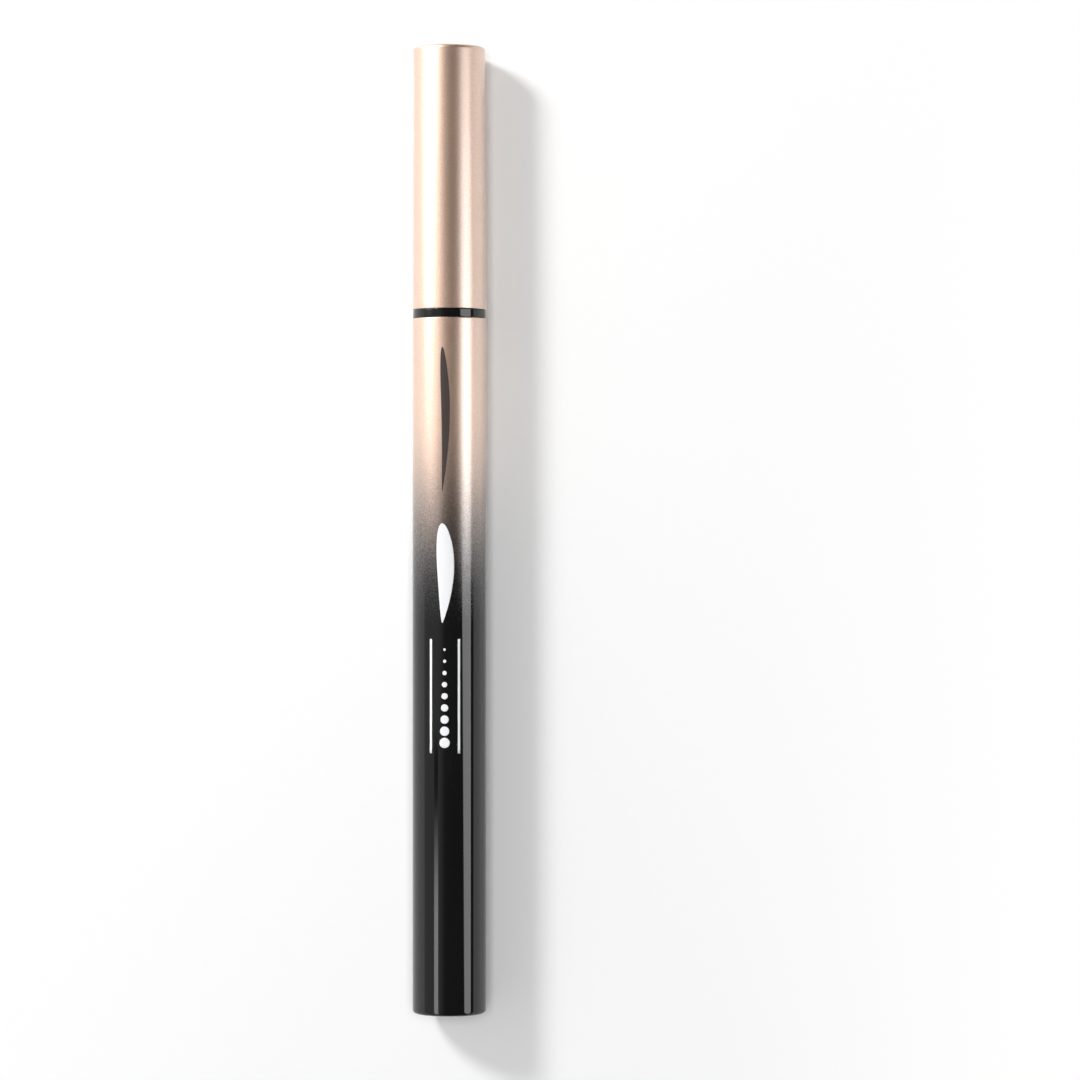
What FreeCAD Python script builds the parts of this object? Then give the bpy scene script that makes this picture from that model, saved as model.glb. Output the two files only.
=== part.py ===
"""Liquid eyeliner pen: a push-on cap over an angled fibre tip that is fed from a sealed ink tank in the barrel.

The pen lies on its side. Y runs along it from the tail to the cap, Z is up, and the origin is on the surface
under the middle of the closed pen. Every piece is drawn about the Y axis, with station 0 at the seat: the front
face of the flange, where the mouth of the cap stops. It is moved to its place when it is written. Sizes are in
millimetres and angles in degrees.
"""

import FreeCAD, Part
import math
import os

# Fits between pieces, all radial
press_gap = 0.02  # left between the faces of a press fit
slide_gap = 0.08  # between pieces that slide on each other
seat_gap = 0.05  # left between faces that stop or seal each other
cut_overrun = 1.0  # how far a cutting tool reaches past the face that it opens

# Barrel
barrel_diameter = 10.5
barrel_length = 99.0
barrel_wall = 0.9
barrel_tail_round = 0.6
barrel_mouth_bevel = 0.12

# Tail plug
tail_plug_length = 18.0
tail_plug_floor = 1.5
tail_plug_wall = 0.8
tail_plug_edge = 0.2

# Ink tank
tank_wall = 0.9
tank_floor = 1.2
tank_front_grip = 6.0  # length held in the front section
tank_tail_grip = 3.0  # length held in the tail plug

# Front section: flange, spigot in the barrel, collar in the cap, cone to the nozzle
flange_thickness = 1.3
flange_inset = 0.05
flange_bevel = 0.15
spigot_length = 9.0
spigot_wall = 0.8
spigot_relief = 0.08
spigot_bead_width = 1.5
collar_step_height = 1.45
collar_ramp_height = 0.35
collar_groove_height = 1.25
collar_groove_depth = 0.27
collar_bead_height = 0.75
collar_bead_crest = 0.25
collar_land_height = 1.25
collar_land_drop = 0.2
collar_shoulder_width = 0.55
cone_length = 11.9
cone_shoulder_diameter = 5.3
cone_shoulder_length = 2.3  # of the quicker taper at the tip
cone_tip_diameter = 4.7
cone_rim_chamfer = 0.1

# Angled nozzle
nozzle_lean = 16.3  # turn of the tip from the pen's axis
nozzle_lean_station = 3.0  # from the nozzle's base to where the two lines of the bend cross
nozzle_mouth_reach = 3.06  # from that crossing to the mouth
nozzle_mouth_diameter = 1.6
nozzle_mouth_offset = 0.16  # the mouth lies this far outside the tip's line
nozzle_mouth_bevel = 0.15
nozzle_plug_diameter = 3.4
nozzle_plug_length = 4.0
nozzle_key_length = 1.0
nozzle_key_depth = 0.4
nozzle_key_rise = 0.36
nozzle_key_angle = 30.0
# Sections of the horn from its base to its mouth: station, sideways shift, radius and lean as shares of the
# horn's height, the mouth's shift, the step from mouth to base radius, and the full lean
horn_section_shares = (
    (0.00, 0.00, 1.00, 0.00),
    (0.22, -0.05, 0.60, 0.00),
    (0.50, 0.12, 0.35, 0.20),
    (0.78, 0.50, 0.17, 0.72),
    (1.00, 1.00, 0.00, 1.00),
)

# Nib
nib_diameter = 0.86
nib_bend_radius = 14.0
nib_exposed = 3.5
nib_point_diameter = 0.06
nib_bulge = 0.11
nib_clearance = 0.03
nib_root_diameter = 1.6
nib_root_length = 0.8

# Ink feed
relay_diameter = 1.8
relay_clearance = 0.04
relay_passage_gap = 0.25
relay_reach = 1.5  # beyond the collector, into the ink
collector_stem_diameter = 4.0
collector_stem_length = 4.0
collector_core_wall = 0.4
collector_fin_count = 6
collector_fin_thickness = 0.75
collector_fin_gap = 0.75
collector_disc_thickness = 1.0
collector_slot_width = 0.3

# Mixing ball
ball_diameter = 3.2

# Cap
cap_wall = 0.8
cap_clearance = 0.22  # between the collar and the bore
cap_draft = 0.15  # loss of radius from mouth to top
cap_end_wall = 1.2
cap_edge_round = 0.55
cap_mouth_chamfer = 0.2
snap_bead_height = 0.9
snap_bead_crest = 0.3
ledge_distance = 3.4  # from the collar to the ledge that keeps the inner cap in
ledge_thickness = 0.8
ledge_depth = 0.25

# Inner cap, pressed against the collar by the spring
inner_cap_travel = 2.0
inner_cap_wall = 0.5
inner_cap_floor = 0.7
inner_cap_flange_thickness = 0.8
inner_cap_nose_bore = 5.8
inner_cap_nose_length = 11.0
inner_cap_tip_room = 1.3
spring_boss_height = 1.0

# Cap spring, as long as it is with the cap closed
spring_length = 7.4
spring_mean_diameter = 4.4
spring_wire = 0.4
spring_turns = 4
spring_wire_sides = 6
spring_boss_gap = 0.15

# Radii that follow from the sizes above
barrel_radius = barrel_diameter / 2
barrel_bore = barrel_radius - barrel_wall
spigot_radius = barrel_bore - press_gap
tank_socket = spigot_radius - spigot_wall
tank_radius = tank_socket - press_gap
tank_bore = tank_radius - tank_wall
cap_bore = barrel_radius - cap_wall
collar_step_radius = cap_bore - cap_clearance
collar_groove_radius = collar_step_radius - collar_groove_depth
collar_land_radius = collar_step_radius - collar_land_drop
cone_base_radius = collar_land_radius - collar_shoulder_width
cone_tip_radius = cone_tip_diameter / 2
nib_radius = nib_diameter / 2
relay_radius = relay_diameter / 2
relay_passage = relay_radius + relay_passage_gap
ledge_bore = cap_bore - ledge_depth
skirt_radius = ledge_bore - slide_gap
skirt_bore = skirt_radius - inner_cap_wall
spring_boss_radius = (spring_mean_diameter - spring_wire) / 2 - spring_boss_gap

# Stations that follow from the sizes above
barrel_front = -flange_thickness
barrel_tail = barrel_front - barrel_length
spigot_end = barrel_front - spigot_length
tank_front = spigot_end + tank_front_grip
plug_mouth = barrel_tail + tail_plug_length
tank_rear = plug_mouth - tank_tail_grip
collar_groove_low = collar_step_height + collar_ramp_height
collar_groove_high = collar_groove_low + collar_groove_height
collar_bead_top = collar_groove_high + collar_bead_height
collar_land_top = collar_bead_top + collar_land_height
collar_top = collar_land_top + collar_shoulder_width
nozzle_base = collar_top + cone_length
nozzle_plug_end = nozzle_base - nozzle_plug_length
nib_root_end = nozzle_plug_end - nib_root_length
stem_front = tank_front + collector_stem_length
fin_pitch = collector_fin_thickness + collector_fin_gap
fins_rear = tank_front - collector_disc_thickness - collector_fin_count * fin_pitch - collector_fin_gap
collector_rear = fins_rear - collector_disc_thickness
relay_rear = collector_rear - relay_reach
ledge_front = collar_top + ledge_distance
ledge_rear = ledge_front + ledge_thickness
inner_flange_front = ledge_rear + seat_gap + inner_cap_travel
inner_flange_rear = inner_flange_front + inner_cap_flange_thickness

# The bent line of the nib: up the axis to the crossing, then out along the lean
lean_sine = math.sin(math.radians(nozzle_lean))
lean_cosine = math.cos(math.radians(nozzle_lean))
bend_tangent = nib_bend_radius * math.tan(math.radians(nozzle_lean) / 2)
crossing_station = nozzle_base + nozzle_lean_station
nib_tip_reach = nozzle_mouth_reach + nib_exposed
nib_tip_station = crossing_station + nib_tip_reach * lean_cosine
mouth_station = crossing_station + nozzle_mouth_reach * lean_cosine
mouth_shift = nozzle_mouth_reach * lean_sine - nozzle_mouth_offset

# The cap is as long as what it closes over
inner_cap_end = nib_tip_station + inner_cap_tip_room
spring_front = inner_cap_end + inner_cap_floor
spring_rear = spring_front + spring_length
cap_top = spring_rear + cap_end_wall

# Place of the whole pen: on its side, with the middle of its length over the origin
overall_length = cap_top - barrel_tail
pen_place = FreeCAD.Vector(0, overall_length / 2 - cap_top, barrel_radius)

FULL_TURN = 360
round_share = 1 - math.sqrt(0.5)  # of a round's size: how far its middle lies in from each side
origin = FreeCAD.Vector(0, 0, 0)
pen_axis = FreeCAD.Vector(0, 1, 0)
lean_axis = FreeCAD.Vector(0, 0, 1)


def at(radius, station):
    """A point of the half plane in which outlines are drawn."""
    return FreeCAD.Vector(radius, station, 0)


def outline(start, *moves):
    """A closed face: each move is an end point, or a pair of points, through and end, for an arc."""
    edges = []
    here = start
    for move in moves:
        if isinstance(move[0], tuple):
            through, end = move
            edges.append(Part.Arc(at(*here), at(*through), at(*end)).toShape())
        else:
            end = move
            edges.append(Part.makeLine(at(*here), at(*end)))
        here = end
    edges.append(Part.makeLine(at(*here), at(*start)))
    return Part.Face(Part.Wire(edges))


def turned(start, *moves):
    """A solid of revolution about the pen's axis, from an outline of (radius, station) points."""
    return outline(start, *moves).revolve(origin, pen_axis, FULL_TURN)


def rod(radius, low, high):
    """A plain cylinder on the pen's axis between two stations."""
    return Part.makeCylinder(radius, high - low, at(0, low), pen_axis)


def leaning(shape, reach):
    """Moves a shape drawn from station 0 on the axis onto the leaning line, at this reach from the crossing."""
    moved = shape.copy()
    moved.translate(at(0, reach))
    moved.rotate(origin, lean_axis, -nozzle_lean)
    moved.translate(at(0, crossing_station))
    return moved


def make_barrel():
    """The outer tube, open at both ends, with a rounded tail."""
    return turned(
        (barrel_bore, barrel_tail),
        (barrel_radius - barrel_tail_round, barrel_tail),
        (barrel_radius - barrel_tail_round * round_share, barrel_tail + barrel_tail_round * round_share),
        (barrel_radius, barrel_tail + barrel_tail_round),
        (barrel_radius, barrel_front - barrel_mouth_bevel),
        (barrel_radius - barrel_mouth_bevel, barrel_front),
        (barrel_bore, barrel_front),
    )


def make_tail_plug():
    """A deep cup pressed into the tail, whose mouth holds the end of the tank."""
    side = barrel_bore - press_gap
    socket = tank_radius + press_gap
    hollow = socket - tail_plug_wall
    floor = barrel_tail + tail_plug_floor
    return turned(
        (0, barrel_tail),
        (side - tail_plug_edge, barrel_tail),
        (side, barrel_tail + tail_plug_edge),
        (side, plug_mouth),
        (socket, plug_mouth),
        (socket, tank_rear - seat_gap),
        (hollow, tank_rear - seat_gap),
        (hollow, floor),
        (0, floor),
    )


def make_ink_tank():
    """The sealed tube that holds the ink, closed at its rear."""
    return turned(
        (0, tank_rear),
        (tank_radius, tank_rear),
        (tank_radius, tank_front),
        (tank_bore, tank_front),
        (tank_bore, tank_rear + tank_floor),
        (0, tank_rear + tank_floor),
    )


def make_front_section():
    """Spigot, flange, stepped collar and cone in one moulding, bored for the tank, the feed and the nozzle."""
    flange = barrel_radius - flange_inset
    side = spigot_radius - spigot_relief
    crest_low = (collar_groove_high + collar_bead_top - collar_bead_crest) / 2
    nozzle_socket = nozzle_plug_diameter / 2 + press_gap
    stem_seat = collector_stem_diameter / 2 + press_gap
    body = turned(
        (tank_socket, spigot_end),
        (spigot_radius, spigot_end),
        (spigot_radius, spigot_end + spigot_bead_width),
        (side, spigot_end + spigot_bead_width + spigot_relief),
        (side, barrel_front),
        (flange - flange_bevel, barrel_front),
        (flange, barrel_front + flange_bevel),
        (flange, -flange_bevel),
        (flange - flange_bevel, 0),
        (collar_step_radius, 0),
        (collar_step_radius, collar_step_height),
        (collar_groove_radius, collar_groove_low),
        (collar_groove_radius, collar_groove_high),
        (collar_step_radius, crest_low),
        (collar_step_radius, crest_low + collar_bead_crest),
        (collar_land_radius, collar_bead_top),
        (collar_land_radius, collar_land_top),
        (cone_base_radius, collar_top),
        (cone_shoulder_diameter / 2, nozzle_base - cone_shoulder_length),
        (cone_tip_radius, nozzle_base - cone_rim_chamfer),
        (cone_tip_radius - cone_rim_chamfer, nozzle_base),
        (nozzle_socket, nozzle_base),
        (nozzle_socket, nozzle_plug_end - seat_gap),
        (relay_passage, nozzle_plug_end - seat_gap),
        (relay_passage, stem_front + seat_gap),
        (stem_seat, stem_front + seat_gap),
        (stem_seat, tank_front + seat_gap),
        (tank_socket, tank_front + seat_gap),
    )
    return body.cut(nozzle_key(press_gap))


def nozzle_key(gap):
    """The tongue behind the bend that keeps the nozzle from turning, or with a gap, the notch that it fits."""
    low = nozzle_base - nozzle_key_length - gap
    inner = cone_tip_radius - nozzle_key_depth - gap
    outer = cone_tip_radius + nozzle_key_rise + gap
    angle = nozzle_key_angle + 2 * math.degrees(gap / cone_tip_radius)
    face = outline((inner, low), (outer, low), (cone_tip_radius, nozzle_base + gap), (inner, nozzle_base + gap))
    key = face.revolve(origin, pen_axis, angle)
    key.rotate(origin, pen_axis, FULL_TURN / 2 - angle / 2)
    return key


def horn():
    """The outside of the nozzle: round sections that shrink, move sideways and lean over towards the mouth."""
    height = mouth_station - nozzle_base
    mouth_radius = nozzle_mouth_diameter / 2
    sections = []
    for station_share, shift_share, radius_share, lean_share in horn_section_shares:
        radius = mouth_radius + radius_share * (cone_tip_radius - mouth_radius)
        section = Part.Wire(Part.Circle(origin, pen_axis, radius).toShape())
        section.rotate(origin, lean_axis, -nozzle_lean * lean_share)
        section.translate(at(mouth_shift * shift_share, nozzle_base + height * station_share))
        sections.append(section)
    return Part.makeLoft(sections, True, False)


def bent_rod(radius, low, reach):
    """A rod along the nib's line, from a station on the axis round the bend to a reach along the lean."""
    bend_low = at(0, crossing_station - bend_tangent)
    bend_high = at(bend_tangent * lean_sine, crossing_station + bend_tangent * lean_cosine)
    half_lean = math.radians(nozzle_lean) / 2
    bend_middle = bend_low + at(
        nib_bend_radius * (1 - math.cos(half_lean)), nib_bend_radius * math.sin(half_lean)
    )
    end = at(reach * lean_sine, crossing_station + reach * lean_cosine)
    path = Part.Wire([
        Part.makeLine(at(0, low), bend_low),
        Part.Arc(bend_low, bend_middle, bend_high).toShape(),
        Part.makeLine(bend_high, end),
    ])
    section = Part.Wire(Part.Circle(at(0, low), pen_axis, radius).toShape())
    return path.makePipeShell([section], True, False)


def make_angled_nozzle():
    """A bent horn with a plug that sits in the cone, a key against turning, and a bent bore for the nib."""
    shell = horn()
    mouth = max(shell.Faces, key=lambda face: face.CenterOfMass.y)
    shell = shell.makeChamfer(nozzle_mouth_bevel, mouth.Edges)
    shell = shell.fuse(rod(nozzle_plug_diameter / 2, nozzle_plug_end, nozzle_base))
    shell = shell.fuse(nozzle_key(0)).removeSplitter()
    bore = bent_rod(nib_radius + nib_clearance, nozzle_plug_end - cut_overrun, nozzle_mouth_reach + cut_overrun)
    return shell.cut(bore)


def make_nib():
    """A bundle of fibres: a flanged root, a bent shank in the nozzle and a swollen point in the open."""
    point_radius = nib_point_diameter / 2
    point = turned(
        (0, 0),
        (nib_radius, 0),
        (((nib_radius + point_radius) / 2 + nib_bulge, nib_exposed / 2), (point_radius, nib_exposed)),
        (0, nib_exposed),
    )
    root = rod(nib_root_diameter / 2, nib_root_end, nozzle_plug_end)
    shank = bent_rod(nib_radius, nozzle_plug_end, nozzle_mouth_reach)
    return shank.fuse([root, leaning(point, nozzle_mouth_reach)]).removeSplitter()


def make_relay_core():
    """The fibre rod that carries ink from the tank to the root of the nib."""
    return rod(relay_radius, relay_rear, nib_root_end)


def make_collector():
    """The finned regulator: a stem in the front section, fins that take up spare ink, and a disc on the ink."""
    bore = relay_radius + relay_clearance
    core = bore + collector_core_wall
    disc = tank_bore - press_gap
    fin = tank_bore - slide_gap
    stem = collector_stem_diameter / 2
    disc_rear = tank_front - collector_disc_thickness
    moves = [(stem, stem_front), (stem, tank_front), (disc, tank_front), (disc, disc_rear), (core, disc_rear)]
    for index in range(collector_fin_count):
        front = disc_rear - collector_fin_gap - index * fin_pitch
        rear = front - collector_fin_thickness
        moves += [(core, front), (fin, front), (fin, rear), (core, rear)]
    moves += [(core, fins_rear), (disc, fins_rear), (disc, collector_rear), (bore, collector_rear)]
    comb = turned((bore, stem_front), *moves)
    length = disc_rear - collector_rear + cut_overrun
    slot = Part.makeBox(
        collector_slot_width, length, disc - core + cut_overrun,
        FreeCAD.Vector(-collector_slot_width / 2, collector_rear - cut_overrun, core),
    )
    return comb.cut(slot)


def make_mixing_ball():
    """The steel ball that stirs the ink, lying on the wall of the tank at its rear end."""
    radius = ball_diameter / 2
    centre = FreeCAD.Vector(0, tank_rear + tank_floor + radius + seat_gap, radius + seat_gap - tank_bore)
    return Part.makeSphere(radius, centre)


def make_cap_shell():
    """The drafted outer cap. Its bore has a snap bead, a ledge for the inner cap and a boss for the spring."""
    top_radius = barrel_radius - cap_draft
    snap = collar_step_radius + slide_gap / 2
    snap_middle = (collar_groove_low + collar_groove_high) / 2
    snap_low = snap_middle - snap_bead_height / 2
    snap_high = snap_middle + snap_bead_height / 2
    return turned(
        (0, cap_top),
        (top_radius - cap_edge_round, cap_top),
        (top_radius - cap_edge_round * round_share, cap_top - cap_edge_round * round_share),
        (top_radius, cap_top - cap_edge_round),
        (barrel_radius, 0),
        (cap_bore + cap_mouth_chamfer, 0),
        (cap_bore, cap_mouth_chamfer),
        (cap_bore, snap_low),
        (snap, snap_middle - snap_bead_crest / 2),
        (snap, snap_middle + snap_bead_crest / 2),
        (cap_bore, snap_high),
        (cap_bore, ledge_front - ledge_depth),
        (ledge_bore, ledge_front),
        (ledge_bore, ledge_rear),
        (cap_bore, ledge_rear),
        (cap_bore, spring_rear),
        (spring_boss_radius, spring_rear),
        (spring_boss_radius, spring_rear - spring_boss_height),
        (0, spring_rear - spring_boss_height),
    )


def make_inner_cap():
    """The seal: a cup over the nozzle whose bevelled rim meets the collar's shoulder, sprung inside the cap."""
    flange = cap_bore - slide_gap
    nose_bore = inner_cap_nose_bore / 2
    nose = nose_bore + inner_cap_wall
    nose_start = inner_cap_end - inner_cap_nose_length
    rim_low = collar_land_top + collar_land_radius - skirt_radius + seat_gap
    rim_high = rim_low + skirt_radius - skirt_bore
    return turned(
        (skirt_bore, rim_high),
        (skirt_radius, rim_low),
        (skirt_radius, inner_flange_front),
        (flange, inner_flange_front),
        (flange, inner_flange_rear),
        (skirt_radius, inner_flange_rear),
        (skirt_radius, nose_start),
        (nose, nose_start + skirt_radius - nose),
        (nose, spring_front),
        (spring_boss_radius, spring_front),
        (spring_boss_radius, spring_front + spring_boss_height),
        (0, spring_front + spring_boss_height),
        (0, inner_cap_end),
        (nose_bore, inner_cap_end),
        (nose_bore, nose_start + skirt_bore - nose_bore),
        (skirt_bore, nose_start),
    )


def arc_from(start, direction, end):
    """The arc that leaves a point in a direction and ends at another point."""
    chord = end - start
    along = FreeCAD.Vector(chord).normalize()
    side = direction - along * direction.dot(along)
    half_angle = direction.getAngle(chord) / 2
    middle = (start + end) / 2 + side.normalize() * (chord.Length / 2 * math.tan(half_angle))
    return Part.Arc(start, middle, end).toShape()


def coil_line(radius, pitch, turns, low):
    """A helix about the pen's axis as pairs of arcs, one pair for each half turn, tangent where they meet."""
    def point(angle):
        return FreeCAD.Vector(
            radius * math.cos(angle), low + pitch * angle / math.tau, radius * math.sin(angle)
        )

    def heading(angle):
        return FreeCAD.Vector(
            -radius * math.sin(angle), pitch / math.tau, radius * math.cos(angle)
        ).normalize()

    half = math.tau / 2
    arcs = []
    for index in range(2 * turns):
        start, end = point(index * half), point((index + 1) * half)
        leaving, arriving = heading(index * half), heading((index + 1) * half)
        chord = end - start
        spread = 2 * (1 - leaving.dot(arriving))
        along = chord.dot(leaving + arriving)
        handle = (math.sqrt(along * along + spread * chord.dot(chord)) - along) / spread
        meeting = (start + end + (leaving - arriving) * handle) / 2
        arcs.append(arc_from(start, leaving, meeting))
        arcs.append(arc_from(end, -arriving, meeting))
    return Part.Wire(arcs)


def make_cap_spring():
    """The coil spring between the inner cap and the end of the cap, at its length with the cap closed."""
    radius = spring_mean_diameter / 2
    pitch = (spring_length - spring_wire - 2 * seat_gap) / spring_turns
    line = coil_line(radius, pitch, spring_turns, spring_front + seat_gap + spring_wire / 2)
    start = line.Edges[0].valueAt(line.Edges[0].FirstParameter)
    climb = math.degrees(math.atan2(pitch, math.tau * radius))
    corners = []
    for index in range(spring_wire_sides + 1):
        angle = math.tau * index / spring_wire_sides
        corners.append(at(spring_wire / 2 * math.cos(angle), spring_wire / 2 * math.sin(angle)))
    section = Part.makePolygon(corners)
    section.rotate(origin, FreeCAD.Vector(1, 0, 0), -climb)
    section.translate(start)
    print("least gap between turns of the spring: %.2f" % (pitch - spring_wire))
    return line.makePipeShell([section], True, False)


def write(node, shape):
    """Puts a piece in its place on the surface and writes it under its node's name."""
    placed = shape.copy()
    placed.translate(pen_place)
    placed.exportStep(os.path.join("parts", node + ".step"))
    print("%-14s valid %s solids %d volume %.2f" % (node, placed.isValid(), len(placed.Solids), placed.Volume))


pieces = {
    "barrel": make_barrel,
    "tail_plug": make_tail_plug,
    "ink_tank": make_ink_tank,
    "mixing_ball": make_mixing_ball,
    "collector": make_collector,
    "relay_core": make_relay_core,
    "front_section": make_front_section,
    "angled_nozzle": make_angled_nozzle,
    "nib": make_nib,
    "inner_cap": make_inner_cap,
    "cap_spring": make_cap_spring,
    "cap_shell": make_cap_shell,
}

os.makedirs("parts", exist_ok=True)
for node_name, make in pieces.items():
    write(node_name, make())
print("closed pen %.2f long, cap %.2f, nib tip %.2f past the seat" % (overall_length, cap_top, nib_tip_station))
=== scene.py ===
import math

import bpy
import numpy as np
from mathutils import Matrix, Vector


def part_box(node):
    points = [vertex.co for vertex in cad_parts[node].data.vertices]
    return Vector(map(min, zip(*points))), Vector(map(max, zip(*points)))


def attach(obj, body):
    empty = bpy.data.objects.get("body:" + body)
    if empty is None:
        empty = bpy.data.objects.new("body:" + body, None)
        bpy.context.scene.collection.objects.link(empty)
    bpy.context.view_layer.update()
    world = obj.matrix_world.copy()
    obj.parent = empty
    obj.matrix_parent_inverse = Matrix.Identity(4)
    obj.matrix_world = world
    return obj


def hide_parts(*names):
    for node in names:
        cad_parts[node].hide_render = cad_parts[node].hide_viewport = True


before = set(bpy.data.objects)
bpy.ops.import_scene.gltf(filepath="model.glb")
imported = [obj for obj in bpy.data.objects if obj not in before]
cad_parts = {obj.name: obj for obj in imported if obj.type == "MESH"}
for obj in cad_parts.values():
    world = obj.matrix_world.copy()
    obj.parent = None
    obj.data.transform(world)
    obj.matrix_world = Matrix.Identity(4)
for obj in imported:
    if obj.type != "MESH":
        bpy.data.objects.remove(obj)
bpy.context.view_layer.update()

# Sizes in millimetres. Radii are from the pen's axis. Stations run along the pen from the seat of the cap,
# the front face of the black ring: plus towards the tip, minus towards the tail.
MM = 0.001
FULL_TURN = 2 * math.pi

# Barrel, tail plug and the ends of the ink tank
BARREL_RADIUS, BARREL_BORE, BARREL_FRONT, BARREL_TAIL = 5.25, 4.35, -1.3, -100.3
PRESS_RADIUS = 4.33
PLUG_MOUTH, PLUG_FLOOR, PLUG_HOLLOW = -82.3, 1.5, 2.73
TANK_SOCKET, TANK_REAR_STOP, TANK_FRONT_STOP = 3.53, -85.35, -4.25

# Front section: spigot, black ring, stepped collar, cone and what is bored into it
SPIGOT_END, SPIGOT_RIB_END, SPIGOT_NECK_START, SPIGOT_NECK = -10.3, -8.8, -8.72, 4.25
RING_RADIUS = 5.2
COLLAR_STEP, COLLAR_GROOVE, COLLAR_LAND, COLLAR_TOP = 4.23, 3.96, 4.03, 5.6
STEP_END, GROOVE_START, GROOVE_END = 1.45, 1.8, 3.05
BEAD_START, BEAD_END, LAND_START, LAND_END = 3.3, 3.55, 3.8, 5.05
CONE_BASE, CONE_LOWER, CONE_UPPER, CONE_TIP = 3.48, 3.16, 2.76, 2.35
CONE_LOWER_STATION, CONE_UPPER_STATION, CONE_EDGE = 9.8, 14.6, 0.1
NOZZLE_HOLE, NOZZLE_HOLE_FLOOR, INK_WAY = 1.72, 13.45, 1.15
COLLECTOR_SOCKET, COLLECTOR_STOP = 2.02, -0.25

# Angled nozzle and its key: sections of the horn are at shares of the way from its base to its mouth
NOZZLE_BASE, NOZZLE_PLUG, NOZZLE_PLUG_END, NOZZLE_STEP = 17.5, 1.7, 13.5, 0.05
LEAN = math.radians(16.3)
CROSSING, MOUTH_REACH, MOUTH_RADIUS, MOUTH_SHIFT, MOUTH_STATION = 20.5, 3.06, 0.8, 0.699, 23.437
MOUTH_EDGE, MOUTH_EDGE_SHARE = 0.15, 0.972
HORN_SHARES = np.array([0.0, 0.22, 0.5, 0.78, 1.0])
HORN_RADIUS_SHARES = np.array([1.0, 0.63, 0.39, 0.2, 0.0])
HORN_SHIFT_SHARES = np.array([0.0, -0.05, 0.12, 0.5, 1.0])
HORN_LEAN_SHARES = np.array([0.0, 0.0, 0.2, 0.72, 1.0])
KEY_FOOT, KEY_TOE, KEY_HEEL, KEY_LENGTH, KEY_OVERLAP = 1.95, 0.36, 0.01, 1.0, 0.06
KEY_HALF_ANGLE = math.radians(15)

# Fibre nib
NIB_RADIUS, NIB_BORE, NIB_EXPOSED, NIB_BEND = 0.43, 0.46, 3.5, 14.0
NIB_ROOT, NIB_ROOT_END, NIB_POINT, NIB_BULGE = 0.8, 12.7, 0.03, 0.11
FURROWS, SPLITS = 22, 3

# Cap
CAP_BORE, CAP_TOP_RADIUS, CAP_TOP, CAP_FLOOR, CAP_BEVEL = 4.45, 5.1, 37.396, 36.196, 0.2
SNAP, SNAP_START, SNAP_CREST_START, SNAP_CREST_END, SNAP_END = 4.27, 1.975, 2.275, 2.575, 2.875
LEDGE, LEDGE_RAMP, LEDGE_FRONT, LEDGE_REAR = 4.2, 0.25, 9.0, 9.8
BOSS, BOSS_HEIGHT = 1.85, 1.0

# Inner cap and its spring
SKIRT, SKIRT_BORE, SKIRT_LIP, SKIRT_BEVEL = 4.12, 3.62, 5.01, 0.5
FLANGE, FLANGE_FRONT, FLANGE_REAR = 4.37, 11.85, 12.65
NOSE, NOSE_BORE, NOSE_START, NOSE_TAPER, NOSE_FLOOR = 3.4, 2.9, 17.096, 0.72, 28.096
SPRING_FRONT, SPRING_RADIUS, SPRING_WIRE, SPRING_TURNS, SPRING_INSET = 28.796, 2.2, 0.2, 4, 0.25

# Printed mark: places along the pen from its middle, and arcs across it from the barrel's top line
INK_MIDDLE, INK_HALF = -0.009, 0.021
DARK_STROKE, WHITE_STROKE, RULES = (26.0, 5.4), (1.0, -13.2), (-15.4, -31.6)
DARK_HALF_WIDTH, WHITE_HALF_WIDTH, STROKE_SWELL, STROKE_CENTRE, STROKE_SWAY = 0.62, 1.25, 0.7, -0.9, 0.5
RULE_LEFT, RULE_RIGHT, RULE_HALF_WIDTH = -2.6, 1.5, 0.17
DOTS, DOT_FIRST, DOT_PITCH, DOT_CENTRE, DOT_RADIUS, DOT_GROWTH = 9, -16.9, 1.65, -0.55, 0.17, 0.07

# Mesh making: the point that guards a flat side next to a round, and what counts as one point
GUARD_SHARE, GUARD_LIMIT, SAME_POINT = 0.2, 0.3, 1e-6
MERGE_METRES = 1e-7

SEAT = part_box("barrel")[1].y / MM - BARREL_FRONT
AXIS_HEIGHT = BARREL_RADIUS


# Shapes

def rounded(corners, loop=False, steps=7):
    """Outline of (radius, station, round) corners, as an array of points.

    Each corner becomes the quadratic curve that leaves its sides at the round's distance from it, and the
    sides get one more point next to it, so that the shading stays flat along them. A loop's last side returns
    to its start.
    """
    corners = np.array(corners, float)
    points, size = corners[:, :2], corners[:, 2]
    before, after = np.roll(points, 1, axis=0) - points, np.roll(points, -1, axis=0) - points
    reach_before, reach_after = np.linalg.norm(before, axis=1), np.linalg.norm(after, axis=1)
    before, after = before / reach_before[:, None], after / reach_after[:, None]
    spare = np.minimum(reach_before, reach_after) / 2 - size
    guard = size + GUARD_SHARE * np.minimum(GUARD_LIMIT, spare).clip(0)
    along = np.linspace(0, 1, steps)[None, :, None]
    start, end = (points + before * size[:, None])[:, None], (points + after * size[:, None])[:, None]
    curve = (1 - along) ** 2 * start + 2 * along * (1 - along) * points[:, None] + along ** 2 * end
    guard_before = (points + before * guard[:, None])[:, None]
    guard_after = (points + after * guard[:, None])[:, None]
    full = np.concatenate([guard_before, curve, guard_after], axis=1)
    if not loop:
        full[0], full[-1] = points[0], points[-1]
    full = full.reshape(-1, 2)
    apart = np.linalg.norm(full - np.roll(full, 1, axis=0), axis=1) > SAME_POINT
    return full[apart]


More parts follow.
